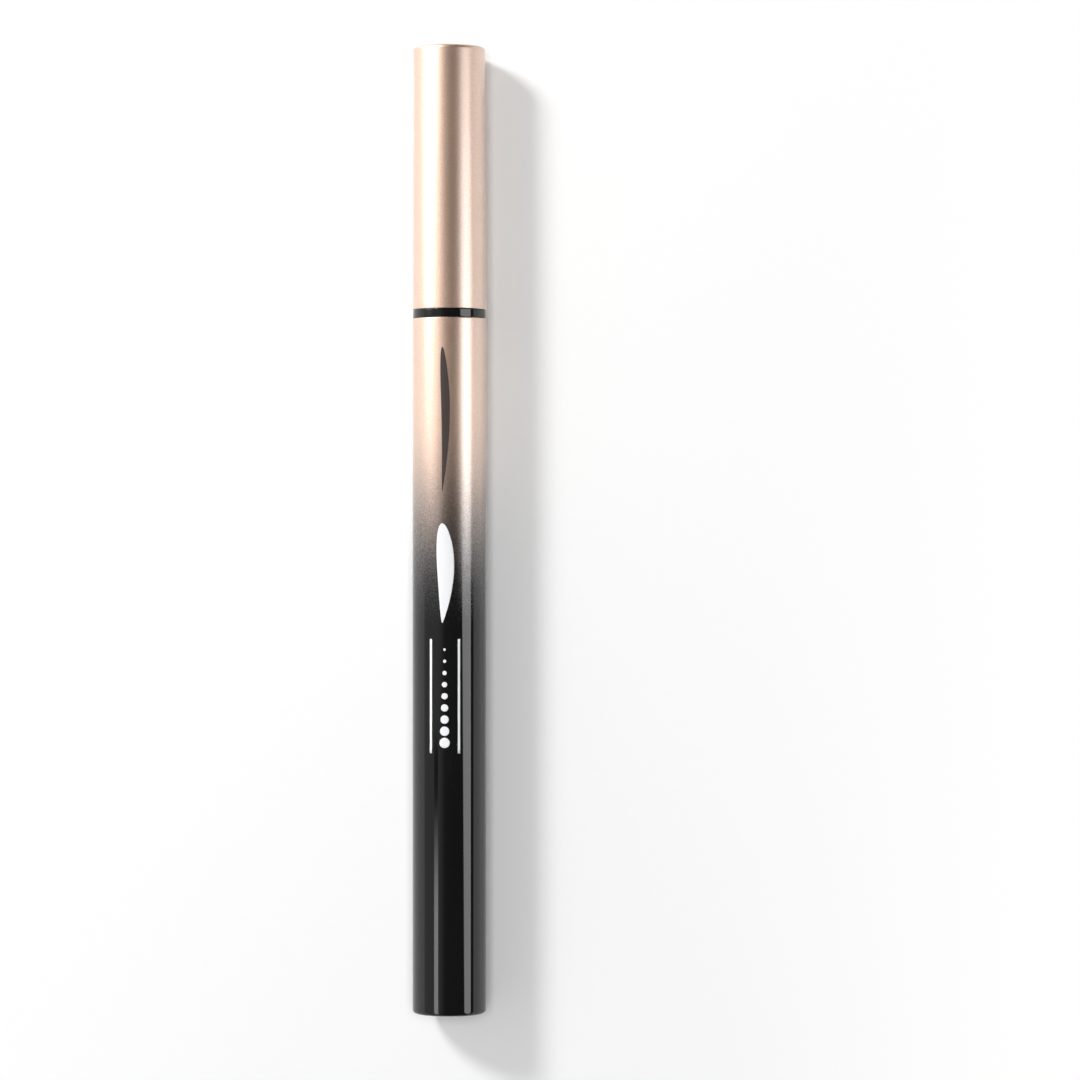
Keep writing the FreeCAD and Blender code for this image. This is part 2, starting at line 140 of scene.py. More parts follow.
def rings(outline, shift=0.0, lean=0.0, columns=160):
    """Circles across a line in the pen's middle plane, one row each.

    Row i is a circle of radius outline[i, 0] about the point (shift[i], outline[i, 1]), tilted by lean[i], so
    a plain outline with no shift and no lean gives the turned surface about the pen's axis.
    """
    radius, station = outline[:, :1], outline[:, 1:2]
    shift, lean = (np.broadcast_to(value, len(outline))[:, None] for value in (shift, lean))
    turn = np.linspace(0, FULL_TURN, columns, endpoint=False)[None, :]
    across = radius * np.cos(turn)
    x = shift + across * np.cos(lean)
    y = SEAT + station - across * np.sin(lean)
    z = AXIS_HEIGHT + radius * np.sin(turn)
    return np.stack([x, y, z], axis=-1)


def quads_of(rows, columns, around=True, along=False):
    """Four-sided faces between neighbours of a grid.

    Around joins its last column to its first, and along its last row to its first.
    """
    row = np.arange(rows if along else rows - 1)[:, None]
    column = np.arange(columns if around else columns - 1)[None, :]
    below, right = (row + 1) % rows * columns, (column + 1) % columns
    row = row * columns
    return np.stack([row + column, row + right, below + right, below + column], axis=-1).reshape(-1, 4)


def piece(name, grids, material, body, node=None):
    """An object of one or more grids, each (points, around, along), riding on a body.

    Points that coincide are merged, which closes the poles, and a closed grid whose volume comes out negative
    is turned so that its faces point outwards.
    """
    points, faces, count = [], [], 0
    for grid, around, along in grids:
        rows, columns = grid.shape[:2]
        flat = grid.reshape(-1, 3)
        quads = quads_of(rows, columns, around, along)
        a, b, c, d = (flat[quads[:, index]] for index in range(4))
        volume = np.einsum("ij,ij->", a - flat.mean(0), np.cross(b - a, c - a) + np.cross(c - a, d - a))
        points.append(flat)
        faces.append((quads if volume > 0 else quads[:, ::-1]) + count)
        count += len(flat)
    mesh = bpy.data.meshes.new(name)
    mesh.from_pydata((np.concatenate(points) * MM).tolist(), [], np.concatenate(faces).tolist())
    made = bpy.data.objects.new(name, mesh)
    bpy.context.scene.collection.objects.link(made)
    merge = made.modifiers.new("merge", "WELD")
    merge.merge_threshold = MERGE_METRES
    graph = bpy.context.evaluated_depsgraph_get()
    made.data = bpy.data.meshes.new_from_object(made.evaluated_get(graph))
    made.modifiers.clear()
    made.data.name = name
    made.data.shade_smooth()
    made.data.materials.append(material)
    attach(made, body)
    if node:
        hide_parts(node)


def turned(corners, loop=False, columns=160):
    """One turned grid from an outline of corners: closed along its rows for a loop, or from pole to pole."""
    return rings(rounded(corners, loop), columns=columns), True, loop


def smooth_through(knots, values, at):
    """Cubic curve through values at knots, with the slope at each knot from its two neighbours."""
    slopes = np.gradient(values, knots)
    index = np.clip(np.searchsorted(knots, at, side="right") - 1, 0, len(knots) - 2)
    width = knots[index + 1] - knots[index]
    t = (at - knots[index]) / width
    rise = (t ** 3 - 2 * t ** 2 + t) * slopes[index] + (t ** 3 - t ** 2) * slopes[index + 1]
    blend = 3 * t ** 2 - 2 * t ** 3
    return (1 - blend) * values[index] + blend * values[index + 1] + rise * width


def nib_line(low, reach, count):
    """Points of the nib's line as station, shift and lean.

    It runs up the axis, round the bend, then out along the lean. The length along the line from where the
    bend starts, divided by the bend's radius, is the lean, held between zero and the full lean; shift and
    station are the sums of its sine and cosine along the way.
    """
    tangent = NIB_BEND * math.tan(LEAN / 2)
    bend_start = CROSSING - tangent
    way = np.linspace(low - bend_start, NIB_BEND * LEAN + reach - tangent, count)
    lean = np.clip(way / NIB_BEND, 0, LEAN)
    beyond = np.maximum(way - NIB_BEND * LEAN, 0)
    shift = NIB_BEND * (1 - np.cos(lean)) + beyond * math.sin(LEAN)
    station = bend_start + np.minimum(way, 0) + NIB_BEND * np.sin(lean) + beyond * math.cos(LEAN)
    return station, shift, lean


def horn_rows():
    """Outside and bore of the angled nozzle, as outline, shift and lean of its rows.

    The outside runs from the plug over the step at the base, up the horn through round sections that shrink,
    move sideways and lean over, round the mouth's edge and back down the bent bore to the plug.
    """
    base = rounded([
        (NIB_BORE, NOZZLE_PLUG_END, 0), (NOZZLE_PLUG, NOZZLE_PLUG_END, 0.15), (NOZZLE_PLUG, NOZZLE_BASE, 0),
        (CONE_TIP - 0.03, NOZZLE_BASE, 0.03), (CONE_TIP, NOZZLE_BASE + NOZZLE_STEP, 0),
    ])
    upright = np.zeros(len(base))

    up = np.linspace(0, 1, 46)[1:]
    up = up[up < MOUTH_EDGE_SHARE]
    station = NOZZLE_BASE + up * (MOUTH_STATION - NOZZLE_BASE)
    shift = smooth_through(HORN_SHARES, HORN_SHIFT_SHARES, up) * MOUTH_SHIFT
    radius = MOUTH_RADIUS + smooth_through(HORN_SHARES, HORN_RADIUS_SHARES, up) * (CONE_TIP - MOUTH_RADIUS)
    lean = smooth_through(HORN_SHARES, HORN_LEAN_SHARES, up) * LEAN

    edge = np.linspace(0, math.pi / 2, 7)
    edge_radius = MOUTH_RADIUS - MOUTH_EDGE * (1 - np.cos(edge))
    edge_rise = MOUTH_EDGE * np.sin(edge) - MOUTH_EDGE
    edge_shift = MOUTH_SHIFT + edge_rise * math.sin(LEAN)
    edge_station = MOUTH_STATION + edge_rise * math.cos(LEAN)

    bore_station, bore_shift, bore_lean = (way[::-1] for way in nib_line(NOZZLE_PLUG_END, MOUTH_REACH, 50))
    outline = np.concatenate([
        base,
        np.column_stack([radius, station]),
        np.column_stack([edge_radius, edge_station]),
        np.column_stack([np.full(len(bore_station), NIB_BORE), bore_station]),
    ])
    shift = np.concatenate([upright, shift, edge_shift, bore_shift])
    lean = np.concatenate([upright, lean, np.full(len(edge), LEAN), bore_lean])
    return outline, shift, lean


def key_grid():
    """The tongue behind the bend: a wedge profile carried round a short arc on the side away from the lean.

    Its ends are closed by drawing the first and last profile in to their middle.
    """
    low, high = NOZZLE_BASE - KEY_LENGTH, NOZZLE_BASE + KEY_OVERLAP
    profile = rounded([
        (KEY_FOOT, low, 0.03), (CONE_TIP + KEY_TOE, low, 0.08),
        (CONE_TIP + KEY_HEEL, high, 0.05), (KEY_FOOT, high, 0.03),
    ], loop=True)
    sweep = np.linspace(-KEY_HALF_ANGLE, KEY_HALF_ANGLE, 13)
    turn = math.pi + np.concatenate([sweep[:1], sweep, sweep[-1:]])
    middle = profile.mean(0)
    draw = np.ones(len(turn))
    draw[[0, -1]] = 0
    section = middle + draw[:, None, None] * (profile - middle)
    x, z = section[..., 0] * np.cos(turn)[:, None], section[..., 0] * np.sin(turn)[:, None]
    return np.stack([x, SEAT + section[..., 1], AXIS_HEIGHT + z], axis=-1)


def nib_rows():
    """The fibre bundle, as outline, shift and lean of its rows and how far out each is on the exposed point.

    A flanged root, a bent shank and the swollen point, whose radius is a straight taper plus a parabola that
    bulges most at its middle.
    """
    root = rounded([
        (0, NIB_ROOT_END, 0), (NIB_ROOT, NIB_ROOT_END, 0.08), (NIB_ROOT, NOZZLE_PLUG_END, 0.08),
        (NIB_RADIUS, NOZZLE_PLUG_END, 0),
    ])
    upright = np.zeros(len(root))
    station, shift, lean = nib_line(NOZZLE_PLUG_END, MOUTH_REACH, 40)
    out = np.linspace(0, 1, 60)
    point_radius = NIB_RADIUS + out * (NIB_POINT - NIB_RADIUS) + 4 * NIB_BULGE * out * (1 - out)
    point_radius, out = np.append(point_radius, 0), np.append(out, 1)
    reach = MOUTH_REACH + out * NIB_EXPOSED
    outline = np.concatenate([
        root,
        np.column_stack([np.full(len(station), NIB_RADIUS), station]),
        np.column_stack([point_radius, CROSSING + reach * math.cos(LEAN)]),
    ])
    covered = np.zeros(len(root) + len(station))
    return (
        outline,
        np.concatenate([upright, shift, reach * math.sin(LEAN)]),
        np.concatenate([upright, lean, np.full(len(out), LEAN)]),
        np.concatenate([covered, out]),
    )


def fibre_ridges(grid, out):
    """Draws the exposed point in between its fibres.

    Radii shrink by up to a tenth along furrows that deepen towards the tip, where a few splits open further.
    A furrow is a raised cosine squared, a split one to the sixth power.
    """
    centre = grid.mean(axis=1, keepdims=True)
    turn = np.linspace(0, FULL_TURN, grid.shape[1], endpoint=False)[None, :]
    out = out[:, None]
    depth = np.clip(out * 3, 0, 1) * (0.035 + 0.065 * out)
    furrow = (0.5 - 0.5 * np.cos(FURROWS * turn)) ** 2
    split = (0.5 - 0.5 * np.cos(SPLITS * turn + 0.8)) ** 6
    return centre + (grid - centre) * (1 - depth * (furrow + 0.7 * out * split))[..., None]


def coil_rows():
    """The cap's spring: a round wire carried along a helix about the pen's axis.

    Its ends are closed by drawing the first and last circle in to a point.
    """
    low, high = SPRING_FRONT + SPRING_INSET, CAP_FLOOR - SPRING_INSET
    share = np.concatenate([[0], np.linspace(0, 1, 361), [1]])
    turn = share * SPRING_TURNS * FULL_TURN
    wire = np.full(len(share), SPRING_WIRE)
    wire[[0, -1]] = 0
    around = np.linspace(0, FULL_TURN, 16, endpoint=False)[None, :]
    radius = SPRING_RADIUS + wire[:, None] * np.cos(around)
    x, z = radius * np.cos(turn)[:, None], radius * np.sin(turn)[:, None]
    y = SEAT + (low + share * (high - low))[:, None] + wire[:, None] * np.sin(around)
    return np.stack([x, y, AXIS_HEIGHT + z], axis=-1)


def printed(across, along, lift):
    """Points of a film of ink on the barrel: across is the arc from the top line, along the pen's length."""
    radius = BARREL_RADIUS + lift
    turn = across / BARREL_RADIUS
    x, z = radius * np.sin(turn), AXIS_HEIGHT + radius * np.cos(turn)
    return np.stack(np.broadcast_arrays(x, along, z), axis=-1)


def film(ends, share, half_width, centre, thick):
    """A closed film along the barrel, between two ends.

    Each row runs over the top from side to side and back underneath, at a share of the way from end to end.
    Thick is 1, or 0 in a row that is drawn in to a point.
    """
    half = 15
    side = np.concatenate([np.linspace(-1, 1, half), np.linspace(1, -1, half)])[None, :]
    top = np.repeat([1.0, -1.0], half)[None, :]
    across = centre + thick * half_width * side
    along = ends[0] + (ends[1] - ends[0]) * share
    return printed(across, along, INK_MIDDLE + thick * INK_HALF * top), True, False


def stroke(ends, half_width):
    """A lengthwise stroke of the pen.

    Its half width is a power of half a sine, which the swell moves along, and the sway bows its middle line
    sideways by half a sine.
    """
    share = np.linspace(0, 1, 60)[:, None]
    width = half_width * np.sin(math.pi * share ** STROKE_SWELL).clip(0) ** 0.75
    return film(ends, share, width, STROKE_CENTRE + STROKE_SWAY * np.sin(math.pi * share), 1.0)


def rule(centre):
    """A lengthwise rule of even width with square ends, which are closed by a first and last row drawn in."""
    share = np.concatenate([[0], np.linspace(0, 1, 24), [1]])[:, None]
    thick = np.ones_like(share)
    thick[[0, -1]] = 0
    return film(RULES, share, RULE_HALF_WIDTH, centre, thick)


def dot(place, radius):
    """A round dot: circles about a point on the barrel, out over its top and back underneath."""
    size = np.array([0, 0.5, 0.8, 1, 1, 0])[:, None] * radius
    lift = INK_MIDDLE + INK_HALF * np.array([1, 1, 1, 1, -1, -1])[:, None]
    turn = np.linspace(0, FULL_TURN, 36, endpoint=False)[None, :]
    return printed(DOT_CENTRE + size * np.cos(turn), place + size * np.sin(turn), lift), True, False


# Finishes

class Wire:
    """A socket of a material's nodes. Sums, products and powers of wires and numbers add Math nodes."""

    def __init__(self, tree, socket=None):
        self.tree, self.socket = tree, socket

    def node(self, kind, settings=None, sockets=None, out=0):
        """Adds any node: its settings are set first, then the values or links of its sockets."""
        made = self.tree.nodes.new(kind)
        for key, value in (settings or {}).items():
            setattr(made, key, value)
        for key, value in (sockets or {}).items():
            if isinstance(value, Wire):
                self.tree.links.new(value.socket, made.inputs[key])
            else:
                made.inputs[key].default_value = value
        return Wire(self.tree, made.outputs[out])

    def maths(self, operation, first, second=0.0):
        return self.node("ShaderNodeMath", {"operation": operation}, {0: first, 1: second})

    def __add__(self, other):
        return self.maths("ADD", self, other)

    __radd__ = __add__

    def __sub__(self, other):
        return self.maths("SUBTRACT", self, other)

    def __rsub__(self, other):
        return self.maths("SUBTRACT", other, self)

    def __mul__(self, other):
        return self.maths("MULTIPLY", self, other)

    __rmul__ = __mul__

    def __pow__(self, other):
        return self.maths("POWER", self, other)

    def between(self, low, high):
        """0 before low, 1 past high, smooth between them; low may be the larger of the two."""
        return self.node("ShaderNodeMapRange", {"interpolation_type": "SMOOTHSTEP"}, {
            "Value": self, "From Min": low, "From Max": high,
        })

    def place(self):
        return self.node("ShaderNodeTexCoord", out="Object")

    def part(self, vector, axis):
        """One of the three numbers of a vector."""
        return self.node("ShaderNodeSeparateXYZ", {}, {"Vector": vector}, out=axis)

    def noise(self, size, stretch=(1, 1, 1), detail=2.0):
        """Noise whose lumps are about size millimetres wide, drawn out by stretch."""
        place = self.node("ShaderNodeVectorMath", {"operation": "MULTIPLY"}, {
            0: self.place(), 1: tuple(1 / (size * MM * share) for share in stretch),
        })
        return self.node("ShaderNodeTexNoise", {}, {"Vector": place, "Scale": 1.0, "Detail": detail})

    def mix(self, factor, first, second):
        """Colour mix."""
        return self.node("ShaderNodeMix", {"data_type": "RGBA"}, {0: factor, 6: first, 7: second}, out=2)

    def bump(self, height, distance, strength):
        """Normals of a relief that is distance millimetres high."""
        return self.node("ShaderNodeBump", {}, {
            "Height": height, "Distance": distance * MM, "Strength": strength,
        })

    def surface(self, **sockets):
        """A Principled shader; underscores in the names stand for spaces."""
        return self.node("ShaderNodeBsdfPrincipled", {}, {
            key.replace("_", " "): value for key, value in sockets.items()
        })

    def glow(self, tone, strength):
        return self.node("ShaderNodeEmission", {}, {"Color": tone, "Strength": strength})

    def blend(self, factor, first, second):
        """Shader mix."""
        return self.node("ShaderNodeMixShader", {}, {0: factor, 1: first, 2: second})


def finish(name):
    """An empty material, as the start of its wires and the function that puts a shader on it."""
    made = bpy.data.materials.new(name)
    made.use_nodes = True
    made.node_tree.nodes.clear()
    wire = Wire(made.node_tree)

    def done(shader):
        output = made.node_tree.nodes.new("ShaderNodeOutputMaterial")
        made.node_tree.links.new(shader.socket, output.inputs["Surface"])
        return made

    return wire, done


def colour(red, green, blue):
    return (red, green, blue, 1.0)


ROSE_DEEP, ROSE_PALE = colour(0.61, 0.362, 0.235), colour(0.72, 0.49, 0.355)
PEARL, DUSK = colour(1.0, 0.97, 0.96), colour(0.02, 0.017, 0.016)
BLACK, BLACK_WORN = colour(0.0035, 0.0035, 0.0037), colour(0.006, 0.006, 0.0062)
FIBRE_DARK, FIBRE_PALE = colour(0.006, 0.006, 0.006), colour(0.032, 0.03, 0.03)
STEEL_DARK, STEEL_PALE = colour(0.52, 0.52, 0.53), colour(0.68, 0.68, 0.69)
PAPER_DARK, PAPER_PALE = colour(0.925, 0.93, 0.925), colour(0.94, 0.94, 0.94)
WHITE, UNLIT = colour(1, 1, 1), colour(0, 0, 0)

# Places along the pen from its middle, in millimetres, between which the barrel turns from black to rose
ROSE_FADE, BLACK_FADE = (-12.0, 20.0), (-14.0, 13.0)


def rose_shader(wire, rose=1.0):
    """Satin rose gold: rose metal flakes with a fine grain and a slow change of tone.

    A strong clear coat and a little pearl sheen give the pale highlights. The flakes darken to dusk where
    rose falls to 0.
    """
    grain, drift = wire.noise(0.2, detail=3.0), wire.noise(9.0)
    flakes = wire.mix(grain.between(0.28, 0.74), ROSE_DEEP, ROSE_PALE)
    return wire.surface(
        Base_Color=wire.mix(rose, DUSK, flakes), Metallic=1.0, Roughness=0.42 + 0.08 * grain + 0.04 * drift,
        Coat_Weight=1.0, Coat_Roughness=0.31, Coat_IOR=3.2,
        Sheen_Weight=0.1, Sheen_Roughness=0.35, Sheen_Tint=PEARL,
        Normal=wire.bump(wire.noise(0.7) * 0.6 + grain * 0.25, 0.01, 0.3),
    )


def black_shader(wire, gloss, peel_size, peel):
    """Gloss black with a faint lengthwise haze and a fine orange peel."""
    haze = wire.noise(2.5, (1, 5, 1))
    return wire.surface(
        Base_Color=wire.mix(haze, BLACK, BLACK_WORN), Roughness=gloss + 0.05 * haze,
        Normal=wire.bump(wire.noise(peel_size), 0.01, peel),
    )


def cap_lacquer():
    wire, done = finish("cap_lacquer")
    return done(rose_shader(wire))


def barrel_lacquer():
    """The cap's rose gold, which fades into gloss black.

    The black is sprayed over it in fine drops that thin out towards the ring, and the rose darkens first.
    """
    wire, done = finish("barrel_lacquer")
    along = wire.part(wire.place(), "Y") * (1 / MM)
    drops = (wire.noise(0.22, detail=3.0) - 0.5) * 12.0 + (wire.noise(3.0) - 0.5) * 1.5
    rose = (along + drops * 0.5).between(*ROSE_FADE)
    cover = 1 - (along + drops).between(*BLACK_FADE)
    return done(wire.blend(cover, rose_shader(wire, rose), black_shader(wire, 0.04, 1.6, 0.06)))


def black_moulding(name, gloss, peel_size):
    wire, done = finish(name)
    return done(black_shader(wire, gloss, peel_size, 0.1))


def nib_fibre():
    """Ink-soaked fibre: matt black with fine streaks along the point."""
    wire, done = finish("nib_fibre")
    streak = wire.noise(0.05, (1, 14, 1), detail=3.0)
    return done(wire.surface(
        Base_Color=wire.mix(streak, FIBRE_DARK, FIBRE_PALE), Roughness=0.55 + 0.25 * streak,
        Normal=wire.bump(streak, 0.02, 0.5),
    ))


def moulded(name, dark, light, rough, size):
    """Plain moulded or pressed material: two near tones in soft clouds, with a fine grain."""
    wire, done = finish(name)
    cloud, grain = wire.noise(size), wire.noise(size / 12, detail=3.0)
    depth = 0.6 * MM
    return done(wire.surface(
        Base_Color=wire.mix(cloud, dark, light), Roughness=rough + 0.12 * grain,
        Normal=wire.bump(grain, 0.008, 0.25),
        Subsurface_Weight=0.15, Subsurface_Radius=(depth, depth, depth),
    ))


def steel(name):
    """Bright steel with a fine grain of wear."""
    wire, done = finish(name)
    marks = wire.noise(0.08, detail=3.0)
    return done(wire.surface(
        Base_Color=wire.mix(marks, STEEL_DARK, STEEL_PALE), Metallic=1.0, Roughness=0.16 + 0.16 * marks,
        Normal=wire.bump(marks, 0.004, 0.2),
    ))


def print_ink(name, dark, light):
    """Screen-printed ink: nearly even, with the faint mottle of the screen."""
    wire, done = finish(name)
    mottle = wire.noise(0.14, detail=3.0)
    return done(wire.surface(
        Base_Color=wire.mix(mottle, dark, light), Roughness=0.34 + 0.12 * mottle,
        Normal=wire.bump(mottle, 0.006, 0.2),
    ))


# Pieces: the third number of a corner is its round

piece("barrel_tube", [turned([
    (BARREL_BORE, BARREL_TAIL, 0.12), (BARREL_RADIUS, BARREL_TAIL, 0.6), (BARREL_RADIUS, BARREL_FRONT, 0.12),
    (BARREL_BORE, BARREL_FRONT, 0.05),
], loop=True, columns=224)], barrel_lacquer(), "pen", "barrel")

piece("cap_body", [turned([
    (0, CAP_TOP, 0), (CAP_TOP_RADIUS, CAP_TOP, 0.5), (BARREL_RADIUS, 0, 0.1),
    (CAP_BORE + CAP_BEVEL, 0, 0.05), (CAP_BORE, CAP_BEVEL, 0.05),
    (CAP_BORE, SNAP_START, 0.1), (SNAP, SNAP_CREST_START, 0.1), (SNAP, SNAP_CREST_END, 0.1),
    (CAP_BORE, SNAP_END, 0.1),
    (CAP_BORE, LEDGE_FRONT - LEDGE_RAMP, 0.05), (LEDGE, LEDGE_FRONT, 0.05), (LEDGE, LEDGE_REAR, 0.05),
    (CAP_BORE, LEDGE_REAR, 0.05),
    (CAP_BORE, CAP_FLOOR, 0.3), (BOSS, CAP_FLOOR, 0.1),
    (BOSS, CAP_FLOOR - BOSS_HEIGHT, 0.15), (0, CAP_FLOOR - BOSS_HEIGHT, 0),
], columns=224)], cap_lacquer(), "cap", "cap_shell")

piece("front_end", [turned([
    (TANK_SOCKET, SPIGOT_END, 0.05), (PRESS_RADIUS, SPIGOT_END, 0.1), (PRESS_RADIUS, SPIGOT_RIB_END, 0.05),
    (SPIGOT_NECK, SPIGOT_NECK_START, 0.05), (SPIGOT_NECK, BARREL_FRONT, 0),
    (RING_RADIUS, BARREL_FRONT, 0.15), (RING_RADIUS, 0, 0.15),
    (COLLAR_STEP, 0, 0.08), (COLLAR_STEP, STEP_END, 0.2),
    (COLLAR_GROOVE, GROOVE_START, 0.15), (COLLAR_GROOVE, GROOVE_END, 0.12),
    (COLLAR_STEP, BEAD_START, 0.12), (COLLAR_STEP, BEAD_END, 0.12),
    (COLLAR_LAND, LAND_START, 0.1), (COLLAR_LAND, LAND_END, 0.3),
    (CONE_BASE, COLLAR_TOP, 0.25), (CONE_LOWER, CONE_LOWER_STATION, 2.5),
    (CONE_UPPER, CONE_UPPER_STATION, 1.6),
    (CONE_TIP, NOZZLE_BASE - CONE_EDGE, 0.06), (CONE_TIP - CONE_EDGE, NOZZLE_BASE, 0.03),
    (NOZZLE_HOLE, NOZZLE_BASE, 0.02), (NOZZLE_HOLE, NOZZLE_HOLE_FLOOR, 0), (INK_WAY, NOZZLE_HOLE_FLOOR, 0),
    (INK_WAY, COLLECTOR_STOP, 0), (COLLECTOR_SOCKET, COLLECTOR_STOP, 0),
    (COLLECTOR_SOCKET, TANK_FRONT_STOP, 0), (TANK_SOCKET, TANK_FRONT_STOP, 0),
], loop=True, columns=192)], black_moulding("black_front", 0.07, 0.9), "pen", "front_section")

horn_outline, horn_shift, horn_lean = horn_rows()
piece("nozzle_horn", [
    (rings(horn_outline, horn_shift, horn_lean, columns=112), True, True), (key_grid(), True, False),
], black_moulding("black_nozzle", 0.16, 0.5), "pen", "angled_nozzle")

nib_outline, nib_shift, nib_lean, nib_out = nib_rows()
piece("nib_point", [
    (fibre_ridges(rings(nib_outline, nib_shift, nib_lean, columns=176), nib_out), True, False),
], nib_fibre(), "pen", "nib")

piece("tail_cup", [turned([
    (0, BARREL_TAIL, 0), (PRESS_RADIUS, BARREL_TAIL, 0.2), (PRESS_RADIUS, PLUG_MOUTH, 0.1),
    (TANK_SOCKET, PLUG_MOUTH, 0.1), (TANK_SOCKET, TANK_REAR_STOP, 0), (PLUG_HOLLOW, TANK_REAR_STOP, 0.1),
    (PLUG_HOLLOW, BARREL_TAIL + PLUG_FLOOR, 0.3), (0, BARREL_TAIL + PLUG_FLOOR, 0),
])], black_moulding("black_moulding", 0.14, 0.7), "pen", "tail_plug")

piece("seal_cup", [turned([
    (SKIRT_BORE, SKIRT_LIP + SKIRT_BEVEL, 0.1), (SKIRT, SKIRT_LIP, 0.1), (SKIRT, FLANGE_FRONT, 0.05),
    (FLANGE, FLANGE_FRONT, 0.1), (FLANGE, FLANGE_REAR, 0.1), (SKIRT, FLANGE_REAR, 0.1),
    (SKIRT, NOSE_START, 0.3), (NOSE, NOSE_START + NOSE_TAPER, 0.3), (NOSE, SPRING_FRONT, 0.25),
    (BOSS, SPRING_FRONT, 0.1), (BOSS, SPRING_FRONT + BOSS_HEIGHT, 0.15), (0, SPRING_FRONT + BOSS_HEIGHT, 0),
    (0, NOSE_FLOOR, 0), (NOSE_BORE, NOSE_FLOOR, 0.3), (NOSE_BORE, NOSE_START + NOSE_TAPER, 0.3),
    (SKIRT_BORE, NOSE_START, 0.3),
], loop=True)], moulded(
    "inner_cap_plastic", colour(0.78, 0.78, 0.76), colour(0.87, 0.87, 0.85), 0.38, 3.0
), "inner_cap", "inner_cap")

piece("cap_coil", [(coil_rows(), True, False)], steel("spring_steel"), "cap", "cap_spring")

piece("print_dark", [
    stroke(DARK_STROKE, DARK_HALF_WIDTH),
], print_ink("print_dark", colour(0.035, 0.022, 0.02), colour(0.05, 0.034, 0.03)), "pen")

piece("print_white", [
    stroke(WHITE_STROKE, WHITE_HALF_WIDTH),
    rule(RULE_LEFT), rule(RULE_RIGHT),
    *[dot(DOT_FIRST - DOT_PITCH * index, DOT_RADIUS + DOT_GROWTH * index) for index in range(DOTS)],
], print_ink("print_white", colour(0.78, 0.785, 0.80), colour(0.84, 0.845, 0.86)), "pen")

hidden_finishes = {
    "ink_tank": moulded("natural_plastic", colour(0.74, 0.76, 0.78), colour(0.86, 0.87, 0.88), 0.35, 4.0),
    "collector": moulded("white_plastic", colour(0.82, 0.82, 0.80), colour(0.9, 0.9, 0.88), 0.45, 2.0),
    "relay_core": moulded("relay_fibre", colour(0.66, 0.65, 0.62), colour(0.8, 0.79, 0.76), 0.8, 0.5),
    "mixing_ball": steel("steel_ball"),
}
for node_name, material in hidden_finishes.items():
    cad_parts[node_name].material_slots[0].material = material


# Floor, light and camera, in metres

FLOOR_REACH, CARD_DISTANCE = 4.0, 0.5
PAPER_HALF_LENGTH, PAPER_NEAR, PAPER_FAR = 0.07, 0.022, 0.09
AXIS_METRES = AXIS_HEIGHT * MM
CAMERA_ABOVE, VIEW_WIDTH, SENSOR_WIDTH = 0.570, 0.15411, 36.0
CAMERA_X, CAMERA_Y = 0.01294, -0.0014


def floor_finish():
    """White paper round the pen, which takes its shadow and turns into an even white further out.

    How far out is the distance from a line under the pen.
    """
    wire, done = finish("white_floor")
    across, along = wire.part(wire.place(), "X"), wire.part(wire.place(), "Y")
    beyond = wire.maths("MAXIMUM", wire.maths("ABSOLUTE", along) - PAPER_HALF_LENGTH, 0.0)
    away = (across * across + beyond * beyond) ** 0.5
    paper = wire.mix(wire.noise(1.5), PAPER_DARK, PAPER_PALE)
    lit = wire.surface(Base_Color=paper, Roughness=0.75, Specular_IOR_Level=0.15)
    return done(wire.blend(away.between(PAPER_NEAR, PAPER_FAR), lit, wire.glow(WHITE, 1.0)))


def stage_sheet(name, corners, material):
    """A flat four-cornered sheet of the studio."""
    mesh = bpy.data.meshes.new(name)
    mesh.from_pydata(corners, [], [(0, 1, 2, 3)])
    made = bpy.data.objects.new(name, mesh)
    bpy.context.scene.collection.objects.link(made)
    mesh.materials.append(material)
    return made


def card(name, corners, radiance, dark_at=None, full_at=None):
    """A glowing card that only shows as a reflection.

    Corners are (degrees from straight up, place along the pen), at the cards' distance from the pen. It glows
    evenly, or grows along the pen from nothing at one place to its full radiance at another.
    """
    wire, done = finish(name)
    tone = WHITE
    if dark_at is not None:
        tone = wire.mix(wire.part(wire.place(), "Y").between(dark_at, full_at), UNLIT, WHITE)
    turns = [(math.radians(angle), along) for angle, along in corners]
    sheet = stage_sheet(name, [
        (CARD_DISTANCE * math.sin(turn), along, CARD_DISTANCE * math.cos(turn) + AXIS_METRES)
        for turn, along in turns
    ], done(wire.glow(tone, radiance)))
    sheet.visible_camera, sheet.visible_diffuse, sheet.visible_shadow = False, False, False


def studio_sky():
    """A dim room that brightens towards the left, with white round the horizon to meet the floor."""
    world = bpy.data.worlds.new("studio")
    bpy.context.scene.world = world
    world.use_nodes = True
    world.node_tree.nodes.clear()
    sky = Wire(world.node_tree)
    direction = sky.node("ShaderNodeTexCoord", out="Generated")
    dim = 0.07
    horizon = 1 - sky.part(direction, "Z").between(0.08, 0.16)
    left_glow = (0 - sky.part(direction, "X")).between(0.14, 0.6) * 0.44
    level = dim + left_glow * (1 - horizon) + (1 - dim) * horizon
    background = sky.node("ShaderNodeBackground", {}, {"Color": WHITE, "Strength": level})
    output = world.node_tree.nodes.new("ShaderNodeOutputWorld")
    world.node_tree.links.new(background.socket, output.inputs["Surface"])


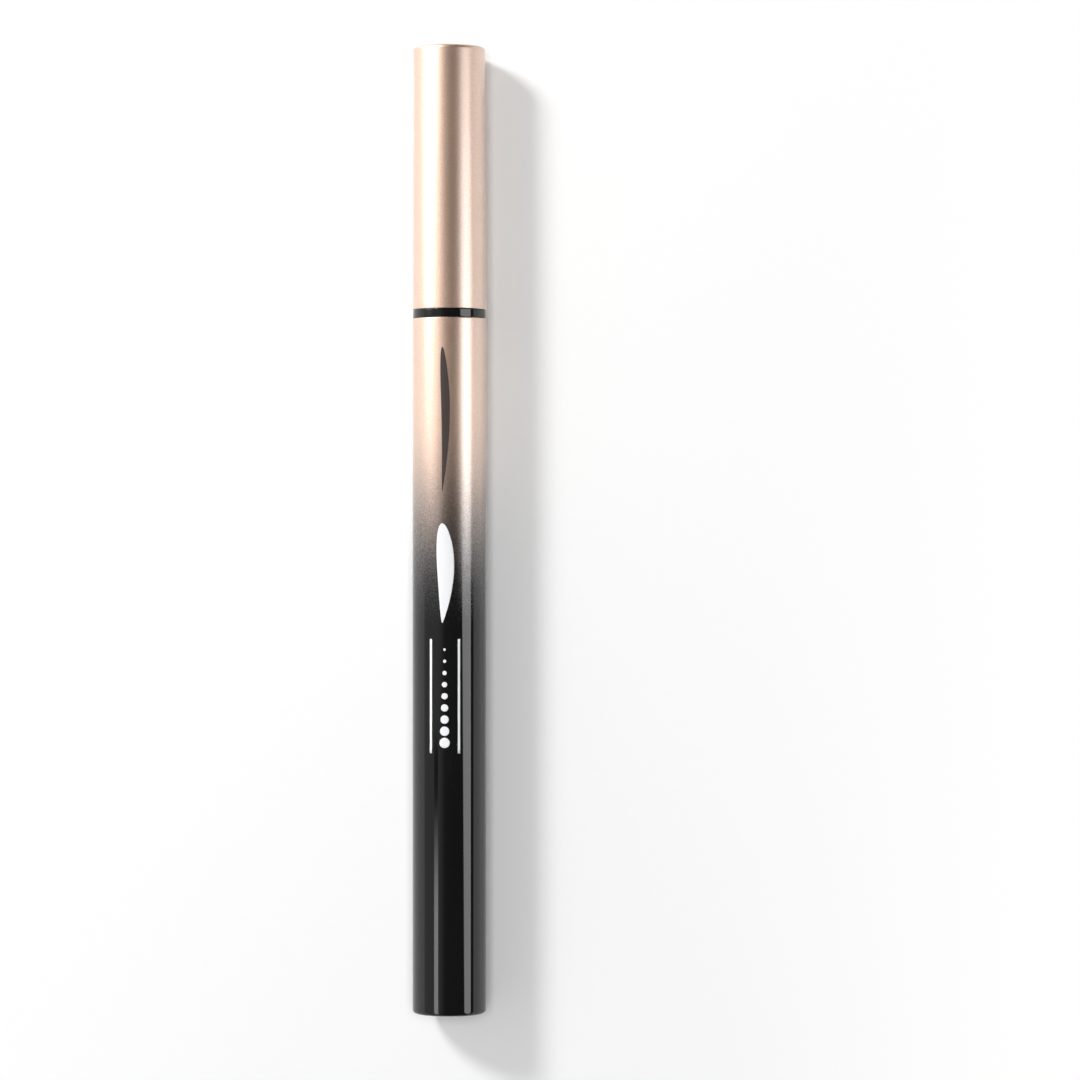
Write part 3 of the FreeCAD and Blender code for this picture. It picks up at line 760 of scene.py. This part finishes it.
def softbox(name, toward, distance, size, light, seen=True):
    """A square lamp that faces the middle of the pen.

    It gives a sheet that faces it that much light, where 1 turns the sheet white.
    """
    lamp = bpy.data.lights.new(name, "AREA")
    lamp.shape, lamp.size = "SQUARE", size
    lamp.energy = light * (math.pi * distance) ** 2
    made = bpy.data.objects.new(name, lamp)
    bpy.context.scene.collection.objects.link(made)
    toward = Vector(toward).normalized()
    made.location = toward * distance + Vector((0, 0, AXIS_METRES))
    made.rotation_euler = toward.to_track_quat("Z", "X").to_euler()
    made.visible_camera, made.visible_glossy = False, seen


def straight_down_camera():
    """A camera above the pen that sees the view's width at the height of the pen's axis."""
    lens = bpy.data.cameras.new("camera")
    lens.sensor_fit, lens.sensor_width = "HORIZONTAL", SENSOR_WIDTH
    lens.lens = SENSOR_WIDTH * CAMERA_ABOVE / VIEW_WIDTH
    lens.clip_start, lens.clip_end = 0.01, 20.0
    camera = bpy.data.objects.new("camera", lens)
    bpy.context.scene.collection.objects.link(camera)
    camera.location = (CAMERA_X, CAMERA_Y, AXIS_METRES + CAMERA_ABOVE)
    bpy.context.scene.camera = camera


stage_sheet("floor", [
    (-FLOOR_REACH, -FLOOR_REACH, 0), (FLOOR_REACH, -FLOOR_REACH, 0),
    (FLOOR_REACH, FLOOR_REACH, 0), (-FLOOR_REACH, FLOOR_REACH, 0),
], floor_finish())
card("right_card", [(72, -0.35), (72, 0.11), (34, 0.11), (60, -0.35)], 3.8)
card("upper_left_card", [(-48, 0.20), (-48, 0.65), (-89, 0.65), (-89, 0.20)], 4.6)
card("streak_card", [
    (-58, 0.03), (-58, 0.36), (-76, 0.36), (-76, 0.03),
], 14.5, dark_at=0.03, full_at=0.22)
card("left_card", [
    (-34, -0.40), (-34, -0.08), (-47, -0.08), (-47, -0.40),
], 4.4, dark_at=-0.095, full_at=-0.14)
studio_sky()
softbox("key_softbox", (-0.62, 0.54, 0.57), distance=0.8, size=0.14, light=0.66)
softbox("fill_softbox", (0, 0, 1), distance=1.2, size=0.5, light=0.53, seen=False)
straight_down_camera()
bpy.context.scene.view_settings.view_transform = "Standard"
